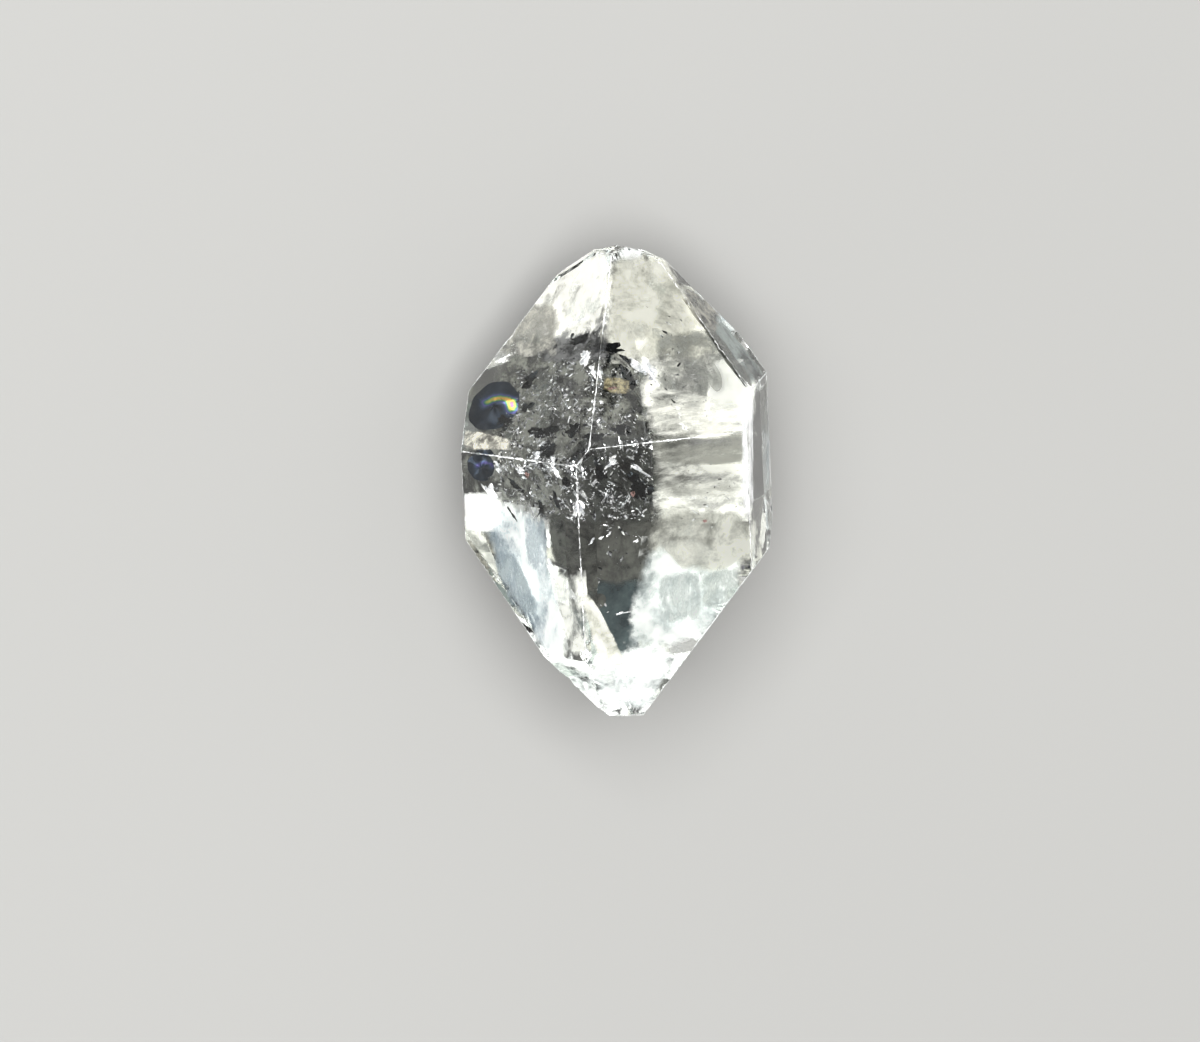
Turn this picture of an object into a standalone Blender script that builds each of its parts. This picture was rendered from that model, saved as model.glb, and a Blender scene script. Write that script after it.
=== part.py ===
"""A clear, doubly terminated quartz crystal, lying on one of its prism faces.

The long axis of the crystal (its c axis) runs along Y, the flat face that it rests on is at Z = 0,
and the origin is under the middle of its bounding box. Every natural face is a flat cut through a
block: it is named by its zone (prism, far end or near end) and by the side it looks to, and is set
by one distance from the middle of the crystal. The tips are broken off, and the edges have nicks:
these are flat cuts and round scoops, because quartz has no cleavage and breaks in shell shapes.
"""
import math

import bmesh
import bpy
from mathutils import Matrix, Vector

MM = 0.001

# In quartz the normals of the end faces lean this far from the c axis (axial ratio c/a = 1.1000)
AXIAL_RATIO = 1.1000
END_FACE_LEAN = math.atan(AXIAL_RATIO * 2.0 / math.sqrt(3.0))

# Sides around the c axis, in degrees from straight up towards +X
SIDE_DEG = {
    "up": 0.0,
    "upper_right": 60.0,
    "lower_right": 120.0,
    "down": 180.0,
    "lower_left": 240.0,
    "upper_left": 300.0,
}

# Distance of each natural face from the middle of the crystal, in millimetres
PRISM_MM = {
    "up": 3.32,
    "upper_right": 3.80,
    "lower_right": 3.28,
    "down": 4.02,
    "lower_left": 3.48,
    "upper_left": 3.43,
}
FAR_END_MM = {
    "up": 4.24,
    "upper_right": 5.16,
    "lower_right": 5.31,
    "down": 4.77,
    "lower_left": 4.93,
    "upper_left": 4.08,
}
NEAR_END_MM = {
    "up": 4.36,
    "upper_right": 3.56,
    "lower_right": 2.70,
    "down": 3.31,
    "lower_left": 2.76,
    "upper_left": 4.40,
}
ZONES = {"prism": PRISM_MM, "far": FAR_END_MM, "near": NEAR_END_MM}

# Flat breaks at the two tips: outward direction, and distance from the middle in millimetres
TIP_BREAKS = [
    (Vector((0.40, 0.91, 0.10)), 6.66),
    (Vector((-0.09, -0.96, 0.26)), 4.99),
]

# Scoops: the faces that meet where a chip broke off, its place along one axis where it is on an
# edge and not on a corner, the radius of the scoop and how deep it bites, in millimetres
SCOOPS = [
    ("far_tip_front", ("far up", "far upper_left", "far down"), None, 1.50, 0.34),
    ("far_tip_back", ("far up", "far lower_right", "far down"), None, 1.20, 0.42),
    ("far_shoulder", ("far up", "far upper_right"), ("y", 6.66), 0.20, 0.075),
    ("far_ridge_high", ("far up", "far upper_left"), ("y", 5.86), 0.26, 0.035),
    ("far_ridge_low", ("far up", "far upper_left"), ("y", 3.91), 0.34, 0.045),
    ("far_right_high", ("far up", "far upper_right"), ("y", 5.55), 0.30, 0.035),
    ("far_right_low", ("far up", "far upper_right"), ("y", 4.55), 0.22, 0.040),
    ("far_outer_right", ("far upper_right", "far lower_right"), ("y", 5.78), 0.34, 0.040),
    ("far_outer_left", ("far upper_left", "far lower_left"), ("y", 4.88), 0.40, 0.045),
    ("far_under", ("far down", "far lower_right"), ("y", 5.60), 0.55, 0.070),
    ("top_rim", ("far up", "prism up"), ("x", 0.45), 0.24, 0.040),
    ("left_rim", ("far upper_left", "prism upper_left"), ("x", -2.90), 0.36, 0.045),
    ("front_edge_far", ("prism up", "prism upper_left"), ("y", 1.85), 0.22, 0.040),
    ("front_edge_middle", ("prism up", "prism upper_left"), ("y", 0.73), 0.30, 0.035),
    ("front_edge_round", ("prism up", "prism upper_left"), ("y", -0.36), 0.14, 0.045),
    ("front_edge_near", ("prism up", "prism upper_left"), ("y", -2.45), 0.55, 0.110),
    ("right_edge_far", ("prism up", "prism upper_right"), ("y", 1.55), 0.24, 0.030),
    ("right_edge_near", ("prism up", "prism upper_right"), ("y", -0.50), 0.16, 0.040),
    ("left_edge", ("prism upper_left", "prism lower_left"), ("y", 0.65), 0.45, 0.045),
    ("under_edge", ("prism lower_right", "prism down"), ("y", 0.95), 0.40, 0.045),
    ("near_right_high", ("near upper_right", "prism up"), ("x", 1.75), 0.30, 0.040),
    ("near_right_notch", ("near upper_right", "near lower_right"), ("y", -3.94), 0.20, 0.060),
    ("near_left", ("near upper_left", "near lower_left"), ("y", -3.47), 0.40, 0.040),
    ("near_under_left", ("near down", "near lower_left"), ("y", -1.60), 0.45, 0.050),
    ("near_under_right", ("near down", "near lower_right"), ("y", -2.30), 0.30, 0.040),
    ("near_tip_left", ("near up", "near lower_left", "near upper_left"), None, 0.70, 0.050),
    ("near_tip_under", ("near upper_right", "near lower_right", "near lower_left"), None, 1.10, 0.34),
]

BLOCK_MM = 20.0
MERGE_MM = 0.0005
AXES = {"x": Vector((1.0, 0.0, 0.0)), "y": Vector((0.0, 1.0, 0.0))}


def face_normal(zone, side):
    """Outward normal: sine and cosine of the side's angle around Y, leaned towards an end."""
    around = math.radians(SIDE_DEG[side])
    outward = Vector((math.sin(around), 0.0, math.cos(around)))
    if zone == "prism":
        return outward
    along = 1.0 if zone == "far" else -1.0
    return outward * math.sin(END_FACE_LEAN) + AXES["y"] * along * math.cos(END_FACE_LEAN)


def face_plane(name):
    """Normal and distance, in millimetres, of a face named by its zone and side."""
    zone, side = name.split()
    return face_normal(zone, side), ZONES[zone][side]


def corner_point(names, place):
    """Point where three faces meet, or where two meet at a place along an axis."""
    planes = [face_plane(name) for name in names]
    if place is not None:
        axis, distance = place
        planes.append((AXES[axis], distance))
    normals = Matrix([normal for normal, _ in planes])
    return normals.inverted() @ Vector([distance for _, distance in planes])


def cut_flat(working, normal, distance):
    """Cuts off what lies beyond a plane and closes the cut with one flat face."""
    cut = bmesh.ops.bisect_plane(
        working,
        geom=working.verts[:] + working.edges[:] + working.faces[:],
        dist=MERGE_MM,
        plane_co=normal * distance,
        plane_no=normal,
        clear_outer=True,
    )
    rim = [part for part in cut["geom_cut"] if isinstance(part, bmesh.types.BMEdge)]
    bmesh.ops.edgeloop_fill(working, edges=rim)


def crystal_body():
    """A block cut by the plane of every natural face, and then by the flat breaks at the tips."""
    working = bmesh.new()
    bmesh.ops.create_cube(working, size=BLOCK_MM)
    for zone, distances in ZONES.items():
        for side, distance in distances.items():
            cut_flat(working, face_normal(zone, side), distance)
    for direction, distance in TIP_BREAKS:
        cut_flat(working, direction.normalized(), distance)
    bmesh.ops.recalc_face_normals(working, faces=working.faces)
    return working


def scoop_ball(names, place, radius, bite):
    """A ball that reaches in by its bite, along the mean of the normals of the faces that meet."""
    outward = sum((face_plane(name)[0] for name in names), Vector()).normalized()
    centre = corner_point(names, place) + outward * (radius - bite)
    working = bmesh.new()
    bmesh.ops.create_icosphere(
        working, subdivisions=4, radius=radius, matrix=Matrix.Translation(centre)
    )
    return working


def new_collection(name):
    collection = bpy.data.collections.new(name)
    bpy.context.scene.collection.children.link(collection)
    return collection


def add_object(name, working, collection, parent):
    """Object of a shape that was worked out in millimetres, stored in metres."""
    bmesh.ops.scale(working, vec=(MM, MM, MM), verts=working.verts)
    mesh = bpy.data.meshes.new(name)
    working.to_mesh(mesh)
    working.free()
    made = bpy.data.objects.new(name, mesh)
    made.parent = parent
    collection.objects.link(made)
    return made


def clear_quartz():
    """Colourless quartz: fully clear, with a refractive index of 1.544."""
    material = bpy.data.materials.new("clear_quartz")
    material.use_nodes = True
    shader = material.node_tree.nodes["Principled BSDF"]
    shader.inputs["Base Color"].default_value = (0.93, 0.94, 0.92, 1.0)
    shader.inputs["Roughness"].default_value = 0.03
    shader.inputs["Metallic"].default_value = 0.0
    shader.inputs["IOR"].default_value = 1.544
    shader.inputs["Transmission Weight"].default_value = 1.0
    return material


def centre_on_floor(solid, frame):
    """Moves the frame so that the solid's box is centred over the origin and stands on Z = 0."""
    bpy.context.view_layer.update()
    evaluated = solid.evaluated_get(bpy.context.evaluated_depsgraph_get())
    points = [evaluated.matrix_world @ vertex.co for vertex in evaluated.data.vertices]
    low = [min(point[axis] for point in points) for axis in range(3)]
    high = [max(point[axis] for point in points) for axis in range(3)]
    frame.location = (-(low[0] + high[0]) / 2.0, -(low[1] + high[1]) / 2.0, -low[2])
    bpy.context.view_layer.update()


for leftover in list(bpy.data.objects):
    bpy.data.objects.remove(leftover)

crystal_collection = new_collection("herkimer_diamond")
cutter_collection = new_collection("cutters")

crystal_frame = bpy.data.objects.new("crystal_frame", None)
crystal_collection.objects.link(crystal_frame)

crystal = add_object("quartz_crystal", crystal_body(), crystal_collection, crystal_frame)
crystal.data.materials.append(clear_quartz())

for scoop_name, faces, place, radius, bite in SCOOPS:
    ball = scoop_ball(faces, place, radius, bite)
    cutter = add_object(scoop_name, ball, cutter_collection, crystal_frame)
    cutter.hide_render = True
    cutter.display_type = "WIRE"
    cut = crystal.modifiers.new(scoop_name, "BOOLEAN")
    cut.operation = "DIFFERENCE"
    cut.solver = "EXACT"
    cut.object = cutter

centre_on_floor(crystal, crystal_frame)
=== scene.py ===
import math

import bmesh
import bpy
import numpy as np
from mathutils import Matrix, Vector


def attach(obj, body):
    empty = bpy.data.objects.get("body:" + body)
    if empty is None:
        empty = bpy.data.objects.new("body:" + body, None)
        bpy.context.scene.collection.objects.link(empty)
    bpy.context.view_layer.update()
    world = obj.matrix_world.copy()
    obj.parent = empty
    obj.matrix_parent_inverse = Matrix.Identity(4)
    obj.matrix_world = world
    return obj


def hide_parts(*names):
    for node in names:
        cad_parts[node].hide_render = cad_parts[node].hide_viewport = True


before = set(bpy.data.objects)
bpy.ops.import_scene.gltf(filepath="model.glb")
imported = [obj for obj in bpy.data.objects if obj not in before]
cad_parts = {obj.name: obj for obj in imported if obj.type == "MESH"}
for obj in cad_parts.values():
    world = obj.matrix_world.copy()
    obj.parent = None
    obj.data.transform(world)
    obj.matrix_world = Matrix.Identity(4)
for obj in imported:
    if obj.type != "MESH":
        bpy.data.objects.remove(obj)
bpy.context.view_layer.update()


# Camera
# The view is the photo's: from above and a little to the left, at a phone's short distance. The angles
# turn the camera about the crystal's long axis, tip it and roll it. One photo pixel is 0.0255 mm.
MM = 0.001
PHOTO_WIDTH_PX = 1200.0
PHOTO_HEIGHT_PX = 1042.0
PIXEL_MM = 0.0255
TURN_DEG = 18.040
TIP_DEG = 12.118
ROLL_DEG = 2.726
VIEW_DISTANCE_PX = 5765.3
CRYSTAL_OFFSET_PX = 15.0
CRYSTAL_MIDDLE_MM = Vector((-0.049, -1.0825, 4.020))

turned = (
    Matrix.Rotation(-math.radians(TURN_DEG), 3, "Y")
    @ Matrix.Rotation(-math.radians(TIP_DEG), 3, "X")
    @ Matrix.Rotation(-math.radians(ROLL_DEG), 3, "Z")
)
view_right, view_up, view_back = turned.col
camera_place = (
    CRYSTAL_MIDDLE_MM
    - view_right * CRYSTAL_OFFSET_PX * PIXEL_MM
    + view_back * VIEW_DISTANCE_PX * PIXEL_MM
) * MM
camera_data = bpy.data.cameras.new("camera")
camera_data.sensor_width = 36.0
camera_data.lens = camera_data.sensor_width * VIEW_DISTANCE_PX / PHOTO_WIDTH_PX
camera_data.clip_start = 0.001
camera_data.clip_end = 10.0
camera = bpy.data.objects.new("camera", camera_data)
bpy.context.scene.collection.objects.link(camera)
camera.matrix_world = Matrix.Translation(camera_place) @ turned.to_4x4()
bpy.context.scene.camera = camera


# Crystal surface
# The whole crystal is one piece of colourless quartz: six prism faces round a long axis along Y, and
# six sloping faces at each end. It grew free in a hollow of its rock, so every side of it is a natural
# face, nearly flat and water-clear, with growth lines, worn edges and small shell-shaped chips.
QUARTZ_IOR = 1.544
# What counts as one flat face of the solid, and how finely its surface is divided
SAME_PLANE_MM = 0.002
SAME_WAY = 0.999
SLIVER_MM2 = 1e-6
SMALLEST_TRIANGLE_MM2 = 0.02
SMALLEST_FACE_MM2 = 0.10
ON_PLANE = 1e-7
WIDE_SQUARE_MM = 30.0
ASKEW = (0.31, 0.90, 0.23)
SHALLOW_EDGE = 0.05
EDGE_STEP_MM = 0.060
FACE_RINGS = 13
MERGE_MM = 0.0004
CREASE_DEG = 14.0
# Wear of the edges: depth, reach onto the faces, and lengths and heights of its two ragged waves
EDGE_WEAR_MM = 0.009
EDGE_BAND_MM = 0.036
RAGGED_MM = (0.25, 1.6)
RAGGED_HEIGHTS = (2.1, 0.8)
RAGGED_RANGE = (0.25, 2.2)
# Frosting of the edges: length of its patches, mean and swing, and its least and most
FROST_MM = 0.5
FROST_MEAN = 0.55
FROST_SWING = 0.9
FROST_RANGE = (0.1, 1.0)
# Relief of the faces: a broad swell, and growth steps that are lower on the end faces
FACE_BAND_MM = 0.35
SWELL_MM = 0.0030
SWELL_LENGTH_MM = 2.4
GROWTH_STEP_MM = 0.0035
GROWTH_LENGTH_MM = 0.9
GROWTH_STRETCH = (0.15, 1.0, 0.15)
GROWTH_SWING = 1.2
END_FACE_SHARE = 0.25
PRISM_LEAN = 0.05
EDGE_ROOM_MM = 0.004
# Chips: how many, the radius of the ball that takes one off, how deep it bites, and their frosting
CHIPS = 340
CHIP_RADIUS_MM = (0.05, 0.22)
CHIP_BITE_MM = (0.006, 0.030)
CHIP_FROST = 0.35
SCOOP_FADE_MM = 0.01
# The wavelengths in one wave pattern lie between these shares of its length
WAVE_SPREAD = (0.6, 1.6)


def unit(vectors):
    """Each vector divided by its own length."""
    return vectors / np.linalg.norm(vectors, axis=-1, keepdims=True)


def natural_planes(mesh):
    """Normal and distance of each flat face: triangles that share one plane, where their areas add up."""
    points = np.empty(len(mesh.vertices) * 3)
    mesh.vertices.foreach_get("co", points)
    mesh.calc_loop_triangles()
    corners = np.empty(len(mesh.loop_triangles) * 3, int)
    mesh.loop_triangles.foreach_get("vertices", corners)
    triangles = points.reshape(-1, 3)[corners.reshape(-1, 3)]
    crossed = np.cross(triangles[:, 1] - triangles[:, 0], triangles[:, 2] - triangles[:, 0])
    areas = np.linalg.norm(crossed, axis=1) / 2.0
    left = areas > SLIVER_MM2 * MM**2
    normals = np.zeros_like(crossed)
    normals[left] = unit(crossed[left])
    found = []
    while areas[left].max(initial=0.0) > SMALLEST_TRIANGLE_MM2 * MM**2:
        biggest = np.argmax(np.where(left, areas, 0.0))
        normal = normals[biggest]
        distance = triangles[biggest].mean(axis=0) @ normal
        off_plane = np.abs(triangles @ normal - distance).max(axis=1)
        member = left & (off_plane < SAME_PLANE_MM * MM) & (normals @ normal > SAME_WAY)
        if areas[member].sum() > SMALLEST_FACE_MM2 * MM**2:
            found.append((*normal, distance))
        left &= ~member
    planes = np.array(found)
    return planes[:, :3], planes[:, 3]


def face_outline(index):
    """Corners of one face: a wide square in its plane, cut back by the plane of every other face."""
    normal = plane_normals[index]
    across = unit(np.cross(normal, ASKEW))
    square = np.array([(-1.0, -1.0), (1.0, -1.0), (1.0, 1.0), (-1.0, 1.0)]) * WIDE_SQUARE_MM * MM
    corners = normal * plane_distances[index] + square @ np.stack([across, np.cross(normal, across)])
    for other in range(len(plane_normals)):
        if other == index:
            continue
        height = corners @ plane_normals[other] - plane_distances[other]
        following = np.roll(height, -1)
        inside = height <= 0.0
        crossing = inside != (following <= 0.0)
        share = np.where(crossing, height / np.where(crossing, height - following, 1.0), 0.0)
        cuts = corners + (np.roll(corners, -1, axis=0) - corners) * share[:, None]
        both = np.stack([corners, cuts], axis=1).reshape(-1, 3)
        corners = both[np.stack([inside, crossing], axis=1).ravel()]
    return corners


def edge_walk(corners):
    """Points at even steps along each side of an outline, from each corner up to the next."""
    walk = []
    for start, end in zip(corners, np.roll(corners, -1, axis=0)):
        steps = max(1, round(float(np.linalg.norm(end - start)) / (EDGE_STEP_MM * MM)))
        walk.append(start + (end - start) * (np.arange(steps) / steps)[:, None])
    return np.concatenate(walk)


def face_fan(index):
    """P(s, t) = B(s) + t*t (C - B(s)): s walks the edge B, and t runs from the edge to the middle C."""
    corners = face_outline(index)
    edge = edge_walk(corners)
    middle = corners.mean(axis=0)
    inward = (np.arange(FACE_RINGS) / FACE_RINGS) ** 2
    points = edge[None] + (middle - edge)[None] * inward[:, None, None]
    points = np.concatenate([points.reshape(-1, 3), middle[None]])
    around = np.arange(len(edge))
    beside = np.roll(around, -1)
    ring = np.arange(FACE_RINGS - 1)[:, None] * len(edge)
    outer = np.stack([around + ring, beside + ring, beside + ring + len(edge)], axis=-1)
    inner = np.stack([around + ring, beside + ring + len(edge), around + ring + len(edge)], axis=-1)
    last = (FACE_RINGS - 1) * len(edge)
    centre = np.full(len(edge), FACE_RINGS * len(edge))
    cap = np.stack([around + last, beside + last, centre], axis=-1)
    triangles = np.concatenate([outer.reshape(-1, 3), inner.reshape(-1, 3), cap])
    first = points[triangles[0]]
    if np.cross(first[1] - first[0], first[2] - first[0]) @ plane_normals[index] < 0.0:
        triangles = triangles[:, ::-1]
    return points, triangles


def waves(points, wavelength_mm, count, seed, stretch=(1.0, 1.0, 1.0)):
    """Mean of many sine waves in random directions, from -1 to 1, as a smooth function of the place."""
    draw = np.random.default_rng(seed)
    directions = unit(draw.normal(size=(count, 3))) * np.array(stretch)
    pace = 2.0 * np.pi / (wavelength_mm * MM * draw.uniform(*WAVE_SPREAD, count))
    phase = draw.uniform(0.0, 2.0 * np.pi, count)
    return np.sin(points @ directions.T * pace + phase).mean(axis=1)


def joined(parts):
    """One mesh of many: each part's faces are counted on from the points before it."""
    starts = np.cumsum([0] + [len(points) for points, _ in parts])
    faces = [part[1] + start for part, start in zip(parts, starts)]
    return np.concatenate([points for points, _ in parts]), np.concatenate(faces)


def new_piece(name, points, faces, material):
    """Object at the origin, unturned, with its place in its mesh."""
    mesh = bpy.data.meshes.new(name)
    mesh.from_pydata(points.tolist(), [], faces.tolist())
    mesh.materials.append(material)
    piece = bpy.data.objects.new(name, mesh)
    bpy.context.scene.collection.objects.link(piece)
    return piece


def linear(hex_colour):
    """Linear colour of an sRGB hex value."""
    channels = [int(hex_colour[at : at + 2], 16) / 255.0 for at in (0, 2, 4)]
    return (*[c / 12.92 if c <= 0.04045 else ((c + 0.055) / 1.055) ** 2.4 for c in channels], 1.0)


def add_node(tree, kind, inputs=None, **settings):
    """One node with its settings. Each input is a value, or an output socket that it is linked to."""
    made = tree.nodes.new(kind)
    for name, value in settings.items():
        setattr(made, name, value)
    for socket, value in (inputs or {}).items():
        if isinstance(value, bpy.types.NodeSocket):
            tree.links.new(value, made.inputs[socket])
        else:
            made.inputs[socket].default_value = value
    return made


def new_material(name):
    """A material, its node tree, its Principled shader and the Object coordinates for its patterns."""
    material = bpy.data.materials.new(name)
    material.use_nodes = True
    tree = material.node_tree
    place = add_node(tree, "ShaderNodeTexCoord").outputs["Object"]
    return material, tree, tree.nodes["Principled BSDF"], place


def clear_quartz():
    """Rock crystal: colourless, IOR 1.544, polished by growth, frosted where its edges are worn."""
    material, tree, shader, place = new_material("clear_quartz")
    shader.inputs["Base Color"].default_value = (1.0, 1.0, 1.0, 1.0)
    shader.inputs["IOR"].default_value = QUARTZ_IOR
    shader.inputs["Transmission Weight"].default_value = 1.0
    # Growth lines 0.1 to 0.4 mm apart that run across the long axis, and fainter pits of 0.15 mm
    lines_place = add_node(tree, "ShaderNodeMapping", {"Vector": place, "Scale": (260.0, 2600.0, 260.0)})
    lines = add_node(
        tree,
        "ShaderNodeTexNoise",
        {"Vector": lines_place.outputs[0], "Scale": 1.0, "Detail": 3.0, "Roughness": 0.55},
    )
    pits = add_node(tree, "ShaderNodeTexNoise", {"Vector": place, "Scale": 6500.0, "Detail": 2.0})
    relief = add_node(
        tree,
        "ShaderNodeMath",
        {0: pits.outputs[0], 1: 0.22, 2: lines.outputs[0]},
        operation="MULTIPLY_ADD",
    )
    bump = add_node(
        tree,
        "ShaderNodeBump",
        {"Height": relief.outputs[0], "Strength": 0.10, "Distance": 0.00002},
    )
    tree.links.new(bump.outputs[0], shader.inputs["Normal"])
    worn = add_node(tree, "ShaderNodeAttribute", attribute_name="worn").outputs["Fac"]
    frosting = add_node(
        tree,
        "ShaderNodeMapRange",
        {"Value": worn, "From Min": 0.1, "From Max": 1.0, "To Min": 0.004, "To Max": 0.42},
    )
    tree.links.new(frosting.outputs[0], shader.inputs["Roughness"])
    # The faintest grey green, which shows only over the crystal's whole length
    inside = add_node(tree, "ShaderNodeVolumeAbsorption", {"Color": linear("E6F0EA"), "Density": 22.0})
    tree.links.new(inside.outputs[0], tree.nodes["Material Output"].inputs["Volume"])
    return material


cad_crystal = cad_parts["quartz_crystal"]
plane_normals, plane_distances = natural_planes(cad_crystal.data)

fans = [face_fan(index) for index in range(len(plane_normals))]
flat_points, flat_triangles = joined(fans)
owner = np.repeat(np.arange(len(fans)), [len(points) for points, _ in fans])
crystal = new_piece("crystal_surface", flat_points, flat_triangles, clear_quartz())

# The scoops where chips broke off: every point of the flat faces goes to the nearest point of the solid
wrap = crystal.modifiers.new("onto_solid", "SHRINKWRAP")
wrap.target = cad_crystal
wrap.wrap_method = "NEAREST_SURFACEPOINT"
bpy.context.view_layer.update()
wrapped = crystal.evaluated_get(bpy.context.evaluated_depsgraph_get())
surface = np.empty(len(flat_points) * 3)
wrapped.data.vertices.foreach_get("co", surface)
surface = surface.reshape(-1, 3)
crystal.modifiers.clear()

# How deep each point lies behind each plane, the mean normal of the planes it is on, and its edge
depths = plane_distances - flat_points @ plane_normals.T
on_plane = depths < ON_PLANE
outward = unit(on_plane.astype(float) @ plane_normals)
depths[np.arange(len(depths)), owner] = np.inf
lean = plane_normals @ plane_normals.T
slope = np.sqrt(np.clip(1.0 - lean[owner] ** 2, SHALLOW_EDGE, 1.0))
from_edge = (depths / slope).min(axis=1)
near_edge = np.exp(-((from_edge / (EDGE_BAND_MM * MM)) ** 2))
scooped = np.clip(np.linalg.norm(surface - flat_points, axis=1) / (SCOOP_FADE_MM * MM), 0.0, 1.0)

# Worn edges: a thin ragged bevel. Faces: a broad swell, and low growth steps across the prism. The
# whole surface lies a hair inside the solid, which leaves room for the crushed edges on it
fine_wave = RAGGED_HEIGHTS[0] * waves(flat_points, RAGGED_MM[0], count=30, seed=11)
broad_wave = RAGGED_HEIGHTS[1] * waves(flat_points, RAGGED_MM[1], count=12, seed=12)
ragged = np.clip(1.0 + fine_wave + broad_wave, *RAGGED_RANGE)
wear = EDGE_WEAR_MM * MM * (on_plane.sum(axis=1) > 1) * ragged
away = 1.0 - np.exp(-((from_edge / (FACE_BAND_MM * MM)) ** 2))
is_prism = np.abs(plane_normals[owner, 1]) < PRISM_LEAN
swell = SWELL_MM * MM * (0.5 + waves(flat_points, SWELL_LENGTH_MM, count=14, seed=21))
growth_wave = waves(flat_points, GROWTH_LENGTH_MM, 18, seed=22, stretch=GROWTH_STRETCH)
growth = GROWTH_STEP_MM * MM * (0.5 + GROWTH_SWING * growth_wave)
growth = growth * np.where(is_prism, 1.0, END_FACE_SHARE)
relief = np.clip(swell, 0.0, None) + np.clip(growth, 0.0, None)
surface = surface - outward * (wear + relief * away * (1.0 - scooped) + EDGE_ROOM_MM * MM)[:, None]

# Small chips along the edges: points inside a ball go out to its surface
chip_draw = np.random.default_rng(1544)
edge_index = np.flatnonzero(on_plane.sum(axis=1) > 1)
chip_at = chip_draw.choice(edge_index, CHIPS)
chip_radius = chip_draw.uniform(*CHIP_RADIUS_MM, CHIPS) * MM
chip_bite = chip_draw.uniform(*CHIP_BITE_MM, CHIPS) * MM
chip_centre = flat_points[chip_at] + outward[chip_at] * (chip_radius - chip_bite)[:, None]
chipped = np.zeros(len(surface))
for centre, radius in zip(chip_centre, chip_radius):
    offset = surface - centre
    reach = np.linalg.norm(offset, axis=1)
    hit = reach < radius
    surface[hit] = centre + offset[hit] * (radius / reach[hit])[:, None]
    chipped[hit] = 1.0

frost_wave = waves(flat_points, FROST_MM, count=24, seed=31)
frost = np.clip(FROST_MEAN + FROST_SWING * frost_wave, *FROST_RANGE)
worn_amount = np.clip(near_edge * frost + CHIP_FROST * chipped, 0.0, 1.0)
crystal.data.vertices.foreach_set("co", surface.ravel())
worn_layer = crystal.data.attributes.new("worn", "FLOAT", "POINT")
worn_layer.data.foreach_set("value", worn_amount)

working = bmesh.new()
working.from_mesh(crystal.data)
bmesh.ops.remove_doubles(working, verts=working.verts, dist=MERGE_MM * MM)
bmesh.ops.dissolve_degenerate(working, edges=working.edges, dist=MERGE_MM / 2.0 * MM)
working.to_mesh(crystal.data)
working.free()
crystal.data.shade_smooth()
crystal.data.set_sharp_from_angle(angle=math.radians(CREASE_DEG))

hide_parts("quartz_crystal")
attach(crystal, "root")


# Bruised edges
# Where two faces meet, knocks have crushed the edge to a thin white line of quartz powder and fine
# splinters. The line is broken, thick at the worst knocks and nearly gone in between.
BRUISE_STEP_MM = 0.022
BRUISE_WIDTH_MM = 0.017
BRUISE_LIFT_MM = 0.002
BRUISE_SKIN_MM = 0.002
BRUISE_SPAN = (0.01, 0.99)
# Width of the line on each face: its mean, the lengths and swings of two waves, its least and most
BRUISE_MEAN = 0.50
BRUISE_RAGGED_MM = (0.13, 0.8)
BRUISE_SWINGS = (2.6, 1.8)
BRUISE_RANGE = (0.10, 3.0)
SHORTEST_BRUISE_MM = 0.132
BRUISE_SEED = 300


def shared_edges():
    """Start, end and two faces of each edge: the middle of an outline's side lies on the second face."""
    found = []
    for index in range(len(plane_normals)):
        corners = face_outline(index)
        for start, end in zip(corners, np.roll(corners, -1, axis=0)):
            gap = plane_distances - plane_normals @ ((start + end) / 2.0)
            gap[index] = np.inf
            if gap.argmin() > index and np.linalg.norm(end - start) > SHORTEST_BRUISE_MM * MM:
                found.append((start, end, index, int(gap.argmin())))
    return found


def bruised_edge(start, end, first, second, seed):
    """P(s, w) = edge(s) + w aside(w): three points across, one on the edge and one on each face."""
    steps = round(float(np.linalg.norm(end - start)) / (BRUISE_STEP_MM * MM))
    line = start + (end - start) * np.linspace(*BRUISE_SPAN, steps)[:, None]
    along = unit(end - start)
    rows = [line]
    for place, (here, there) in enumerate(((first, second), (second, first))):
        aside = np.cross(plane_normals[here], along)
        aside *= -np.sign(aside @ plane_normals[there])
        fine = BRUISE_SWINGS[0] * waves(line, BRUISE_RAGGED_MM[0], count=22, seed=seed + place)
        broad = BRUISE_SWINGS[1] * waves(line, BRUISE_RAGGED_MM[1], count=9, seed=seed + 7)
        width = BRUISE_WIDTH_MM * MM * np.clip(BRUISE_MEAN + fine + broad, *BRUISE_RANGE)
        rows.insert(2 * place, line + aside * width[:, None])
    points = np.stack(rows, axis=1)
    station = np.arange(steps - 1)[:, None] * 3 + np.arange(2)
    quads = np.stack([station, station + 1, station + 4, station + 3], axis=-1).reshape(-1, 4)
    crossed = np.cross(points[0, 1] - points[0, 0], points[1, 0] - points[0, 0])
    if crossed @ (plane_normals[first] + plane_normals[second]) < 0.0:
        quads = quads[:, ::-1]
    return points.reshape(-1, 3), quads


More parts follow.
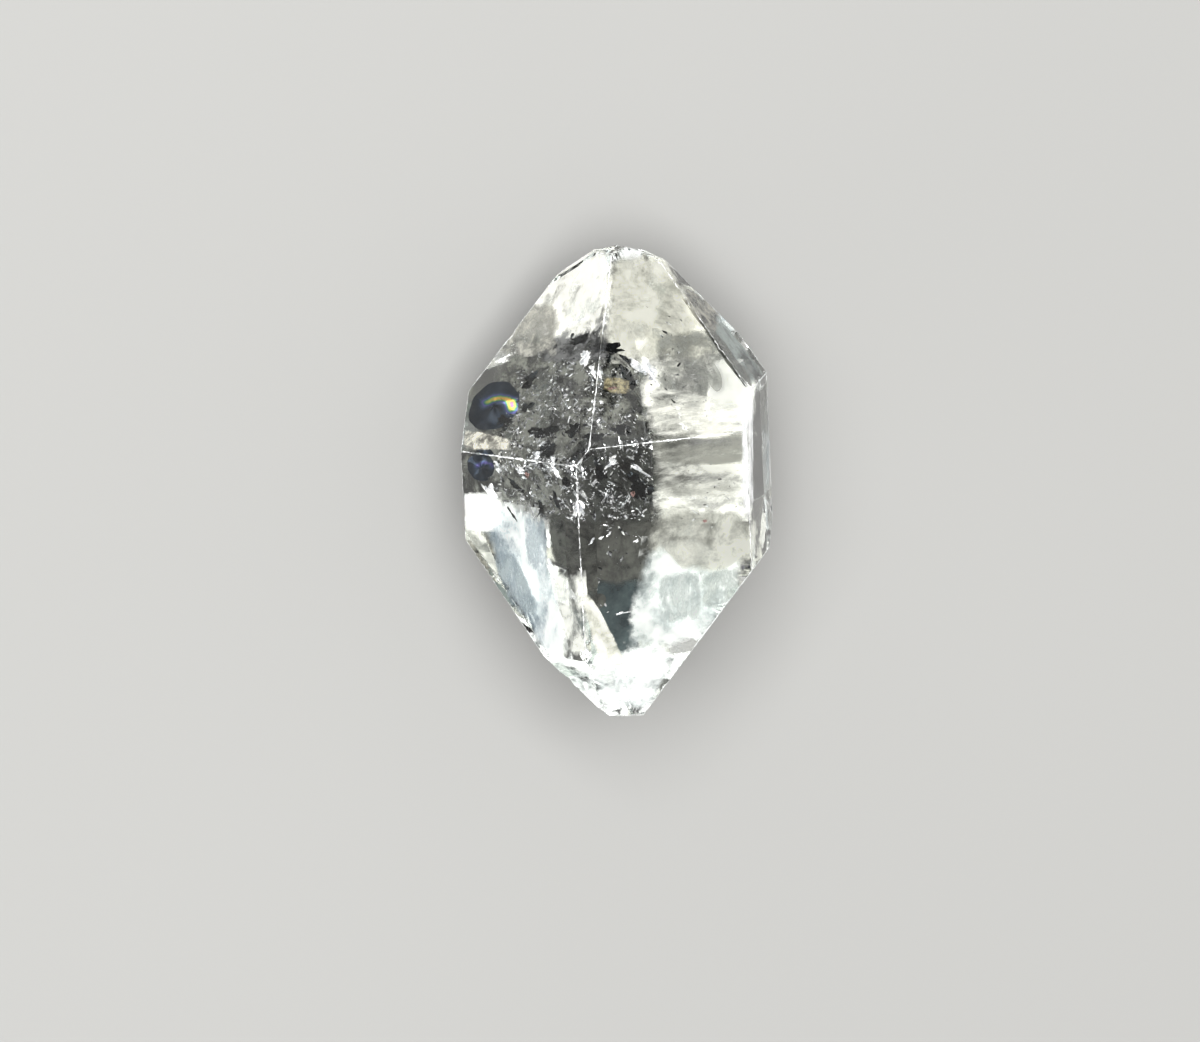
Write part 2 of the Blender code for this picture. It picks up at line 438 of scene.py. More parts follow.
def crushed_quartz_painted_glow():
    """Fine white quartz powder in an edge: rough, and broken up where the edge is still whole."""
    material, tree, shader, place = new_material("crushed_quartz_painted_glow")
    shader.inputs["Base Color"].default_value = linear("F2F4F5")
    shader.inputs["Roughness"].default_value = 0.7
    shader.inputs["IOR"].default_value = QUARTZ_IOR
    # The powder's white is its own; the faint glow given off is painted light
    shader.inputs["Emission Color"].default_value = linear("F2F4F5")
    shader.inputs["Emission Strength"].default_value = 0.14
    # Heaps of splinters 0.01 to 0.12 mm across
    splinters = add_node(tree, "ShaderNodeTexNoise", {"Vector": place, "Scale": 8000.0, "Detail": 4.0})
    whole = add_node(
        tree,
        "ShaderNodeMapRange",
        {"Value": splinters.outputs[0], "From Min": 0.40, "From Max": 0.58, "To Min": 0.05, "To Max": 0.85},
    )
    tree.links.new(whole.outputs[0], shader.inputs["Alpha"])
    return material


edge_parts = [
    bruised_edge(*edge, BRUISE_SEED + 10 * number) for number, edge in enumerate(shared_edges())
]
bruised_edges = new_piece("bruised_edges", *joined(edge_parts), crushed_quartz_painted_glow())
laid = bruised_edges.modifiers.new("onto_crystal", "SHRINKWRAP")
laid.target = crystal
laid.wrap_method = "NEAREST_SURFACEPOINT"
laid.wrap_mode = "ABOVE_SURFACE"
laid.offset = BRUISE_LIFT_MM * MM
skin = bruised_edges.modifiers.new("skin", "SOLIDIFY")
skin.thickness = BRUISE_SKIN_MM * MM
skin.offset = 0.0
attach(bruised_edges, "root")


# Healed cracks
# Old cracks in the crystal healed and left films of tiny flat gas and liquid pockets, mostly under 0.1 mm
# long. Each is a mirror when light meets it at a slant, so a film of them sparkles. The sparkle is also
# painted, as near white and near black patches with a faint painted glow.
POCKET_THICKNESS_MM = 0.006
POCKET_CORNERS = 8
POCKET_RAGGEDNESS = 0.35
POCKET_HALF_MM = 0.036
POCKET_HALF_SPREAD = 0.62
POCKET_HALF_RANGE_MM = (0.012, 0.19)
POCKET_SLIMNESS = (0.12, 0.50)
POCKET_TILT_DEG = (12.0, 66.0)
POCKET_SLANTS_DEG = (-38.0, 42.0)
POCKET_SLANT_SPREAD_DEG = 24.0
FIRST_SLANT_SHARE = 0.65
DEPTH_WAVE_MM = 2.2
DEPTH_JITTER_MM = 0.10
SHALLOWEST_MM = 0.10
PUSH_ROUNDS = 4
# How pockets crowd together: tries for each one, the length of the crowds, and how dense they get
TRIES = 14
CROWD_MM = 0.55
CROWD_MEAN = 0.5
CROWD_SWING = 2.2
# Name, outline in photo pixels, number of pockets, depth and its wobble in millimetres
POCKET_FILMS = [
    ("upper", [(512, 352), (548, 330), (600, 333), (600, 440), (585, 452), (530, 455), (500, 440)],
     760, 0.75, 0.45),
    ("upper_right", [(602, 340), (634, 344), (648, 400), (650, 436), (597, 440)],
     260, 0.9, 0.3),
    ("upper_sparks", [(514, 398), (540, 384), (574, 386), (580, 414), (520, 424)],
     170, 0.45, 0.20),
    ("left_sparks", [(494, 432), (536, 430), (572, 462), (540, 474), (498, 466)],
     230, 0.45, 0.20),
    ("left", [(498, 455), (525, 462), (580, 455), (578, 522), (560, 516), (520, 516), (492, 505)],
     460, 0.7, 0.35),
    ("front", [(588, 446), (652, 438), (655, 498), (640, 520), (584, 516)],
     460, 0.6, 0.35),
    ("front_low", [(584, 520), (652, 510), (648, 565), (588, 565)],
     60, 0.9, 0.3),
    ("top_right", [(640, 300), (705, 322), (746, 402), (700, 420), (650, 400)],
     150, 0.3, 0.15),
    ("front_right", [(660, 445), (740, 438), (745, 545), (656, 545)],
     70, 0.3, 0.15),
    ("front_point", [(586, 560), (646, 556), (636, 610), (600, 616)],
     40, 1.0, 0.4),
]


def seen_through(pixels, depth_mm):
    """Points that deep along each pixel's line of sight, as the face where it enters bends it."""
    across = (pixels[:, 0] - PHOTO_WIDTH_PX / 2.0)[:, None] * np.array(view_right)
    upright = (PHOTO_HEIGHT_PX / 2.0 - pixels[:, 1])[:, None] * np.array(view_up)
    sight = unit(across + upright - VIEW_DISTANCE_PX * np.array(view_back))
    facing = sight @ plane_normals.T
    gap = plane_distances - plane_normals @ np.array(camera_place)
    travel = np.where(facing < 0.0, gap / facing, -np.inf)
    entry = np.array(camera_place) + sight * travel.max(axis=1)[:, None]
    normal = plane_normals[travel.argmax(axis=1)]
    square = -(sight * normal).sum(axis=1)
    ratio = 1.0 / QUARTZ_IOR
    turn = ratio * square - np.sqrt(1.0 - ratio**2 * (1.0 - square**2))
    bent = ratio * sight + turn[:, None] * normal
    return entry + bent * (depth_mm * MM)[:, None], bent


def kept_inside(points, margin_mm):
    """Points moved back along each face's normal until they lie that deep inside the crystal."""
    for _ in range(PUSH_ROUNDS):
        for normal, distance in zip(plane_normals, plane_distances):
            over = points @ normal - distance + margin_mm * MM
            points = points - np.clip(over, 0.0, None)[:, None] * normal
    return points


def inside_outline(pixels, outline):
    """True where a line to the right of a pixel crosses the outline an odd number of times."""
    start = np.array(outline, float)
    end = np.roll(start, -1, axis=0)
    level = pixels[:, 1][:, None]
    spans = (start[:, 1] > level) != (end[:, 1] > level)
    rise = end[:, 1] - start[:, 1]
    share = (level - start[:, 1]) / np.where(rise == 0.0, 1.0, rise)
    crossing = start[:, 0] + share * (end[:, 0] - start[:, 0])
    return (spans & (pixels[:, 0][:, None] < crossing)).sum(axis=1) % 2 == 1


def clustered(outline, count, draw, seed):
    """Random pixels inside an outline, thick where a smooth wave pattern is high and thin elsewhere."""
    low, high = np.min(outline, axis=0), np.max(outline, axis=0)
    tried = draw.uniform(low, high, (count * TRIES, 2))
    there = np.column_stack([tried, np.zeros(len(tried))]) * PIXEL_MM * MM
    crowd = CROWD_MEAN + CROWD_SWING * waves(there, CROWD_MM, count=16, seed=seed)
    kept = tried[inside_outline(tried, outline) & (draw.uniform(size=len(tried)) < crowd)]
    return kept[:count]


def lenses(centre, normal, lengthwise, half_length, half_width, thickness, corners, raggedness, draw):
    """Thin closed lenses: the rim is an ellipse with ragged radii, and each face has one raised middle."""
    lengthwise = unit(lengthwise - normal * (lengthwise * normal).sum(axis=1)[:, None])
    sideways = np.cross(normal, lengthwise)
    angle = np.linspace(0.0, 2.0 * np.pi, corners, endpoint=False)
    reach = 1.0 + raggedness * draw.uniform(-1.0, 1.0, (len(centre), corners))
    along = (half_length[:, None] * np.cos(angle) * reach)[..., None] * lengthwise[:, None]
    aside = (half_width[:, None] * np.sin(angle) * reach)[..., None] * sideways[:, None]
    rim = centre[:, None] + along + aside
    raised = normal * thickness / 2.0
    points = np.concatenate([rim, (centre + raised)[:, None], (centre - raised)[:, None]], axis=1)
    here = np.arange(corners)
    beside = np.roll(here, -1)
    upper = np.stack([here, beside, np.full(corners, corners)], axis=1)
    lower = np.stack([beside, here, np.full(corners, corners + 1)], axis=1)
    one = np.concatenate([upper, lower])
    starts = np.arange(len(centre))[:, None, None] * (corners + 2)
    return points.reshape(-1, 3), (one[None] + starts).reshape(-1, 3)


def tilted(bent, tilt_deg, draw):
    """Normals that face the eye, leaned over by an angle towards a random side."""
    aside = unit(np.cross(bent, draw.normal(size=bent.shape)))
    lean_over = np.radians(tilt_deg)[:, None]
    return unit(-bent * np.cos(lean_over) + aside * np.sin(lean_over))


def image_direction(angle_deg):
    """Direction in the picture plane, anticlockwise from the right."""
    angle = np.radians(angle_deg)
    return np.cos(angle)[:, None] * np.array(view_right) + np.sin(angle)[:, None] * np.array(view_up)


def patchy_tone(tree, shader, pattern, stops, painted_glow_share):
    """Colours that follow a pattern, from the first stop to the last. A share is given off as a painted
    glow, which stands in for lamp light: the renderer sends no direct light through clear quartz to what is
    inside it."""
    tone = add_node(tree, "ShaderNodeValToRGB", {"Fac": pattern.outputs[0]})
    ramp = tone.color_ramp
    for end, (position, colour) in zip(ramp.elements, (stops[0], stops[-1])):
        end.position = position
        end.color = linear(colour)
    for position, colour in stops[1:-1]:
        ramp.elements.new(position).color = linear(colour)
    tree.links.new(tone.outputs["Color"], shader.inputs["Base Color"])
    tree.links.new(tone.outputs["Color"], shader.inputs["Emission Color"])
    shader.inputs["Emission Strength"].default_value = painted_glow_share


def gas_film_painted_reflections():
    """Wall of a gas pocket inside quartz: light that meets it at a slant is wholly reflected. Its tones are
    painted reflections of light and dark, with a faint painted glow.
    """
    material, tree, shader, place = new_material("gas_film_painted_reflections")
    shader.inputs["Metallic"].default_value = 1.0
    shader.inputs["Roughness"].default_value = 0.16
    # Painted reflections: patches painted near white, for pockets that mirror the light, and near black, a
    # painted shade for pockets that mirror the dark. They are about 0.1 mm across, with a painted glow
    patches = add_node(tree, "ShaderNodeTexNoise", {"Vector": place, "Scale": 9000.0, "Detail": 2.0})
    patchy_tone(tree, shader, patches, [(0.42, "1A1C1E"), (0.60, "F4F6F8")], 0.20)
    return material


pocket_draw = np.random.default_rng(77)
film_mirror = gas_film_painted_reflections()
for film_name, outline, count, depth, wobble in POCKET_FILMS:
    pixels = clustered(outline, count, pocket_draw, len(film_name) + count)
    spread = np.column_stack([pixels, np.zeros(len(pixels))]) * PIXEL_MM * MM
    depth_here = depth + 2.0 * wobble * waves(spread, DEPTH_WAVE_MM, 10, seed=count)
    depth_here += pocket_draw.uniform(-DEPTH_JITTER_MM, DEPTH_JITTER_MM, len(pixels))
    centre, bent = seen_through(pixels, np.clip(depth_here, SHALLOWEST_MM, None))
    normal = tilted(bent, pocket_draw.uniform(*POCKET_TILT_DEG, len(pixels)), pocket_draw)
    first_way = pocket_draw.uniform(size=len(pixels)) < FIRST_SLANT_SHARE
    slants = np.where(first_way, *POCKET_SLANTS_DEG)
    slants += pocket_draw.normal(0.0, POCKET_SLANT_SPREAD_DEG, len(pixels))
    half_length = np.exp(pocket_draw.normal(np.log(POCKET_HALF_MM), POCKET_HALF_SPREAD, len(pixels)))
    half_length = np.clip(half_length, *POCKET_HALF_RANGE_MM) * MM
    half_width = half_length * pocket_draw.uniform(*POCKET_SLIMNESS, len(pixels))
    points, triangles = lenses(
        centre, normal, image_direction(slants), half_length, half_width,
        POCKET_THICKNESS_MM * MM, POCKET_CORNERS, POCKET_RAGGEDNESS, pocket_draw,
    )
    film = new_piece("pocket_film_" + film_name, points, triangles, film_mirror)
    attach(film, "root")


# Open cracks
# Larger cracks that never healed, 0.1 to 0.9 mm long. Each is a thin wing of air with a curved, ragged
# outline. The cracks that mirror the light are painted white and glow, a painted reflection, and those that
# mirror the dark underneath are painted black, a painted shade.
WING_SPOKES = 36
WING_RINGS = 4
WING_SKIN_MM = 0.004
# Lobes of the ragged rim: how many round it, size, how fast small ones fall off, and phase
WING_LOBES = (2, 3, 5, 8, 13)
LOBE_SIZE = (0.1, 1.0)
LOBE_FALL = 0.7
LOBE_PHASE = 6.28
WING_RIM_RANGE = (0.22, 1.7)
# Height of the dome and of its ripple, as shares of the half length, and the ripple's folds
WING_DOME = 0.16
WING_RIPPLE = 0.05
RIPPLE_FOLDS = 3.0
# Pixel in the photo, half length and half width in photo pixels, angle, lean and depth
# Cracks painted white and glowing, as painted reflected light
PAINTED_LIGHT_WINGS = [
    (585, 358, 9, 6, -20, 35, 0.35), (593, 371, 6, 4, -60, 40, 0.35), (645, 368, 17, 6, -50, 26, 0.12),
    (654, 379, 7, 3, -60, 35, 0.12), (490, 495, 12, 7, -38, 30, 0.35), (552, 572, 13, 4, -80, 40, 0.5),
    (571, 594, 11, 4, -62, 40, 0.5), (537, 455, 4, 3, 0, 20, 0.4), (571, 324, 14, 2, 4, 30, 0.3),
    (748, 386, 5, 6, 30, 40, 0.25), (700, 497, 9, 3, 18, 40, 0.5), (577, 510, 4, 7, 0, 30, 0.25),
    (622, 613, 7, 0.9, 6, 20, 0.12), (592, 541, 4, 1.1, 42, 20, 0.4), (601, 538, 3, 1.0, 48, 20, 0.4),
    (609, 534, 3, 1.0, 44, 20, 0.4), (636, 541, 3, 1.2, 30, 30, 0.5), (640, 470, 8, 3, -45, 40, 0.5),
    (612, 462, 9, 3, 35, 40, 0.5), (520, 470, 8, 3, -35, 40, 0.5), (555, 470, 9, 3, -50, 30, 0.5),
]
# Cracks painted black, as painted shade
PAINTED_SHADE_WINGS = [
    (543, 432, 13, 8, 5, 20, 0.8), (547, 449, 10, 7, 25, 25, 0.8), (505, 424, 9, 5, 0, 25, 0.8),
    (586, 336, 15, 8, 8, 20, 0.6), (618, 353, 15, 11, 0, 15, 0.9), (628, 377, 13, 6, -60, 20, 0.8),
    (640, 490, 13, 10, -30, 15, 0.9), (541, 508, 9, 3, -62, 30, 0.6), (560, 350, 12, 6, -20, 25, 0.7),
    (530, 380, 10, 6, 35, 25, 0.8), (573, 430, 9, 6, -40, 25, 0.8), (556, 500, 10, 3, -70, 30, 0.6),
    (516, 486, 9, 4, -35, 30, 0.7), (600, 470, 9, 6, -55, 25, 0.8), (622, 430, 12, 5, -10, 25, 0.8),
    (504, 420, 9, 4, -15, 20, 0.35), (527, 407, 7, 4, 50, 20, 0.35), (550, 451, 9, 5, 30, 20, 0.35),
    (581, 339, 12, 4, 12, 20, 0.30), (612, 349, 16, 6, -6, 20, 0.30), (637, 484, 12, 7, -40, 20, 0.35),
    (596, 437, 9, 4, 0, 20, 0.35), (566, 482, 7, 4, -50, 20, 0.35), (630, 362, 9, 4, -50, 20, 0.30),
    (512, 514, 8, 1.5, -55, 20, 0.2), (541, 510, 8, 1.5, 60, 20, 0.2), (576, 455, 8, 4, 20, 20, 0.35),
]


def crack_wing(row, rings, draw, raggedness):
    """P(r, a) = centre + r R(a): R is a ragged ellipse, the sheet is a shallow dome, closed by a second."""
    pixel_x, pixel_y, half_length, half_width, angle, lean_over, depth = row
    centre, bent = seen_through(np.array([(pixel_x, pixel_y)], float), np.array([depth]))
    normal = tilted(bent, np.array([lean_over], float), draw)[0]
    lengthwise = image_direction(np.array([angle], float))[0]
    lengthwise = unit(lengthwise - normal * (lengthwise @ normal))
    sideways = np.cross(normal, lengthwise)
    around = np.linspace(0.0, 2.0 * np.pi, WING_SPOKES, endpoint=False)
    ragged_rim = 1.0 + sum(
        raggedness * draw.uniform(*LOBE_SIZE) / lobes**LOBE_FALL
        * np.sin(lobes * around + draw.uniform(0.0, LOBE_PHASE))
        for lobes in WING_LOBES
    )
    ragged_rim = np.clip(ragged_rim, *WING_RIM_RANGE)
    out = np.linspace(0.0, 1.0, rings + 1)[1:]
    along = out[:, None] * (half_length * np.cos(around) * ragged_rim)[None] * PIXEL_MM * MM
    aside = out[:, None] * (half_width * np.sin(around) * ragged_rim)[None] * PIXEL_MM * MM
    flat = centre[0] + along[..., None] * lengthwise + aside[..., None] * sideways
    dome = (1.0 - out**2)[:, None]
    ripple = WING_RIPPLE * np.sin(RIPPLE_FOLDS * around + out[:, None])
    bend = half_length * PIXEL_MM * MM * (WING_DOME * dome + ripple)
    skin = WING_SKIN_MM * MM * dome
    sheets = [flat + (bend + side * skin)[..., None] * normal for side in (0.5, -0.5)]
    peak = centre[0] + normal * half_length * PIXEL_MM * MM * WING_DOME
    half_skin = normal * WING_SKIN_MM / 2.0 * MM
    size = rings * WING_SPOKES
    here = np.arange(WING_SPOKES)
    beside = np.roll(here, -1)
    ring = np.arange(rings - 1)[:, None] * WING_SPOKES
    following = ring + WING_SPOKES
    outer = np.stack([here + ring, here + following, beside + following], axis=-1)
    inner = np.stack([here + ring, beside + following, beside + ring], axis=-1)
    hub = np.stack([np.full(WING_SPOKES, size), here, beside], axis=-1)
    face = np.concatenate([outer.reshape(-1, 3), inner.reshape(-1, 3), hub])
    points = np.concatenate([
        sheets[0].reshape(-1, 3), (peak + half_skin)[None],
        sheets[1].reshape(-1, 3), (peak - half_skin)[None],
    ])
    return points, np.concatenate([face, face[:, ::-1] + size + 1])


def open_crack(name, dark_hex, light_hex, painted_glow_share):
    """Air between two broken quartz faces: a rippled silvery sheet with bright and dull patches. Its tones
    and glow are painted: a pale, glowing copy paints reflected light, and a black copy paints shade.
    """
    material, tree, shader, place = new_material(name)
    shader.inputs["Metallic"].default_value = 1.0
    shader.inputs["Roughness"].default_value = 0.22
    # Ripples of the broken faces, 0.02 to 0.2 mm apart
    ripples = add_node(
        tree, "ShaderNodeTexNoise", {"Vector": place, "Scale": 5200.0, "Detail": 4.0, "Distortion": 1.2}
    )
    patchy_tone(tree, shader, ripples, [(0.38, dark_hex), (0.62, light_hex)], painted_glow_share)
    bump = add_node(
        tree, "ShaderNodeBump", {"Height": ripples.outputs[0], "Strength": 0.5, "Distance": 0.00003}
    )
    tree.links.new(bump.outputs[0], shader.inputs["Normal"])
    return material


wing_draw = np.random.default_rng(31)
# Painted light and painted shade: one crack wall painted white with a strong glow, and a copy painted black
painted_light_wings = joined([crack_wing(row, WING_RINGS, wing_draw, 1.0) for row in PAINTED_LIGHT_WINGS])
painted_light_air = open_crack("painted_light_crack", "B9BCC0", "FFFFFF", 0.7)
painted_light_cracks = new_piece("painted_light_cracks", *painted_light_wings, painted_light_air)
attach(painted_light_cracks, "root")
painted_shade_wings = joined([crack_wing(row, WING_RINGS, wing_draw, 0.7) for row in PAINTED_SHADE_WINGS])
painted_shade_air = open_crack("painted_shade_crack", "060708", "1C2022", 0.02)
painted_shade_cracks = new_piece("painted_shade_cracks", *painted_shade_wings, painted_shade_air)
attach(painted_shade_cracks, "root")


# Crack rims
# The rims of old cracks curl, and are seen edge on: bright or black threads, hooked and beaded, up to 0.02
# mm thick. They lie among the pocket films, where the dark ground shows them up. The bright threads are
# painted white and glow, a painted reflection, and the black ones are painted black, a painted shade.
THREAD_STATIONS = 26
THREAD_SIDES = 4
THREAD_LENGTH_MM = 0.15
THREAD_LENGTH_SPREAD = 0.75
THREAD_RADIUS_MM = (0.002, 0.009)
THREAD_TAPER = (0.03, 0.94)
# How far a thread turns and swings in radians, how often, how it dives, and how deep it has to stay
THREAD_TURN = 1.5
THREAD_SWING = (0.1, 0.9)
THREAD_SWING_PACE = (4.0, 30.0)
THREAD_DIVE_MM = 0.05
THREAD_DIVE_PACE = (2.0, 8.0)
THREAD_SHALLOWEST_MM = 0.08
THREAD_INSET_MM = 0.03
# A thread with a gap this many times its usual one, where it meets another face, is left out
WIDEST_GAP = 3.0
BEAD_PACE = (8.0, 26.0)
BEAD_MEAN = 0.75
BEAD_SWING = 0.65
BEAD_BEAT = 2.3
# Share of threads painted white with a glow, as painted light; the rest are painted black, as painted shade
PAINTED_LIGHT_SHARE = 0.62
# Outline in photo pixels, number of threads, depth and its wobble in millimetres
THREAD_FIELDS = [
    ([(505, 385), (575, 372), (602, 440), (578, 520), (498, 505), (490, 440)], 130, 0.42, 0.22),
    ([(604, 350), (640, 360), (652, 520), (586, 520), (592, 440)], 80, 0.48, 0.22),
    ([(500, 492), (548, 503), (546, 528), (506, 518)], 22, 0.25, 0.10),
    ([(545, 332), (602, 332), (600, 382), (528, 384)], 34, 0.45, 0.20),
    ([(656, 340), (728, 350), (738, 428), (660, 432)], 26, 0.25, 0.10),
]


def threads(pixels, depth_mm, draw):
    """P(s, a) = path(s) + r(s) ring(a): the path's heading turns and swings with s, and r tapers."""
    count = len(pixels)
    s = np.linspace(0.0, 1.0, THREAD_STATIONS)
    turn = draw.normal(0.0, THREAD_TURN, (count, 1)) * s
    sway = draw.uniform(*THREAD_SWING, (count, 1))
    swing = sway * np.sin(draw.uniform(*THREAD_SWING_PACE, (count, 1)) * s)
    heading = draw.uniform(0.0, 2.0 * np.pi, (count, 1)) + turn + swing
    length = THREAD_LENGTH_MM * np.exp(draw.normal(0.0, THREAD_LENGTH_SPREAD, (count, 1))) / PIXEL_MM
    across = np.cumsum(np.cos(heading), axis=1) * length / THREAD_STATIONS
    down = np.cumsum(np.sin(heading), axis=1) * length / THREAD_STATIONS
    path = pixels[:, None] + np.stack([across, down], axis=-1)
    dive = THREAD_DIVE_MM * np.sin(draw.uniform(*THREAD_DIVE_PACE, (count, 1)) * s)
    deep = np.clip((depth_mm[:, None] + dive).ravel(), THREAD_SHALLOWEST_MM, None)
    points, bent = seen_through(path.reshape(-1, 2), deep)
    points = kept_inside(points, THREAD_INSET_MM).reshape(count, THREAD_STATIONS, 3)
    gaps = np.linalg.norm(np.diff(points, axis=1), axis=-1)
    whole = gaps.max(axis=1) < WIDEST_GAP * np.median(gaps, axis=1)
    points, bent = points[whole], bent.reshape(count, THREAD_STATIONS, 3)[whole]
    side = unit(np.cross(np.gradient(points, axis=1), bent))
    above = unit(np.cross(side, np.gradient(points, axis=1)))
    taper = np.sin(np.pi * (THREAD_TAPER[0] + THREAD_TAPER[1] * s))
    radius = draw.uniform(*THREAD_RADIUS_MM, (len(points), 1)) * MM * taper
    beads = draw.uniform(*BEAD_PACE, (len(points), 1)) * s
    beads = beads + draw.uniform(0.0, LOBE_PHASE, (len(points), 1))
    radius = radius * (BEAD_MEAN + BEAD_SWING * np.sin(beads) * np.sin(BEAD_BEAT * beads))
    angle = (2.0 * np.pi * np.arange(THREAD_SIDES) / THREAD_SIDES)[:, None]
    ring = np.cos(angle) * side[:, :, None] + np.sin(angle) * above[:, :, None]
    tube = points[:, :, None] + radius[..., None, None] * ring
    here = np.arange(THREAD_SIDES)
    beside = np.roll(here, -1)
    station = np.arange(THREAD_STATIONS - 1)[:, None] * THREAD_SIDES
    following = station + THREAD_SIDES
    wall = np.stack([here + station, here + following, beside + following, beside + station], axis=-1)
    last = (THREAD_STATIONS - 1) * THREAD_SIDES
    one = np.concatenate([wall.reshape(-1, 4), here[None], here[None, ::-1] + last])
    starts = np.arange(len(points))[:, None, None] * THREAD_STATIONS * THREAD_SIDES
    return tube.reshape(-1, 3), (one[None] + starts).reshape(-1, 4)


thread_draw = np.random.default_rng(64)
painted_light_threads, painted_shade_threads = [], []
for outline, count, depth, wobble in THREAD_FIELDS:
    pixels = clustered(outline, count, thread_draw, count)
    depth_here = depth + wobble * thread_draw.uniform(-1.0, 1.0, len(pixels))
    split = round(PAINTED_LIGHT_SHARE * len(pixels))
    painted_light_threads.append(threads(pixels[:split], depth_here[:split], thread_draw))
    painted_shade_threads.append(threads(pixels[split:], depth_here[split:], thread_draw))
# Painted light and painted shade: bright rims are painted white with a glow, dark rims black
rim_painted_light = open_crack("painted_light_rim", "8E9296", "FFFFFF", 0.6)
painted_light_rims = new_piece("painted_light_rims", *joined(painted_light_threads), rim_painted_light)
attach(painted_light_rims, "root")
painted_shade_rim = open_crack("painted_shade_rim", "050607", "1A1D1F", 0.02)
painted_shade_rims = new_piece("painted_shade_rims", *joined(painted_shade_threads), painted_shade_rim)
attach(painted_shade_rims, "root")


# Iron specks
# Specks of iron oxide, 0.1 mm across, were trapped as the crystal grew: pink brown and opaque.
SPECK_RINGS = 2
# Pixel in the photo, half length and half width in photo pixels, angle, lean and depth
IRON_SPECKS = [
    (633, 494, 3.0, 2.0, 60, 20, 0.35), (527, 475, 3.2, 2.2, -50, 20, 0.35),
    (705, 521, 2.4, 1.4, 20, 20, 0.20), (612, 388, 4.0, 1.6, 10, 20, 0.40),
]


def iron_oxide_painted_glow():
    """Earthy iron oxide: dull, with dark and pink brown grains."""
    material, tree, shader, place = new_material("iron_oxide_painted_glow")
    shader.inputs["Roughness"].default_value = 0.8
    # Grains of 0.02 to 0.06 mm
    grains = add_node(tree, "ShaderNodeTexNoise", {"Vector": place, "Scale": 16000.0, "Detail": 2.0})
    # The pink brown is the specks' own colour; the 0.55 share given off is a painted glow
    patchy_tone(tree, shader, grains, [(0.40, "5C4438"), (0.60, "CFA49E")], 0.55)
    return material


speck_draw = np.random.default_rng(8)
specks = joined([crack_wing(row, SPECK_RINGS, speck_draw, 0.5) for row in IRON_SPECKS])
iron_specks = new_piece("iron_specks", *specks, iron_oxide_painted_glow())
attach(iron_specks, "root")


# Haze, painted light and painted shade
# Light scatters from crowds of pockets too small to see one by one. They lie in thin curved sheets: milky
# and streaked close under the faces, and dark about a millimetre down, over the dark zone. The sheets are
# partly painted: the pale ones glow, as painted light where light shines through the crystal, and the dark
# ones are painted shade where it is looked through to the floor in its own shadow.
HAZE_GRID = 56
HAZE_THICKNESS_MM = 0.005
HAZE_INSET_MM = 0.06
HAZE_WAVE_MM = 1.8
HAZE_WAVE_DEPTH_MM = 0.10
HAZE_SQUARENESS = 4.0
HAZE_RIM_SHARE = 0.25
HAZE_SEED = 90
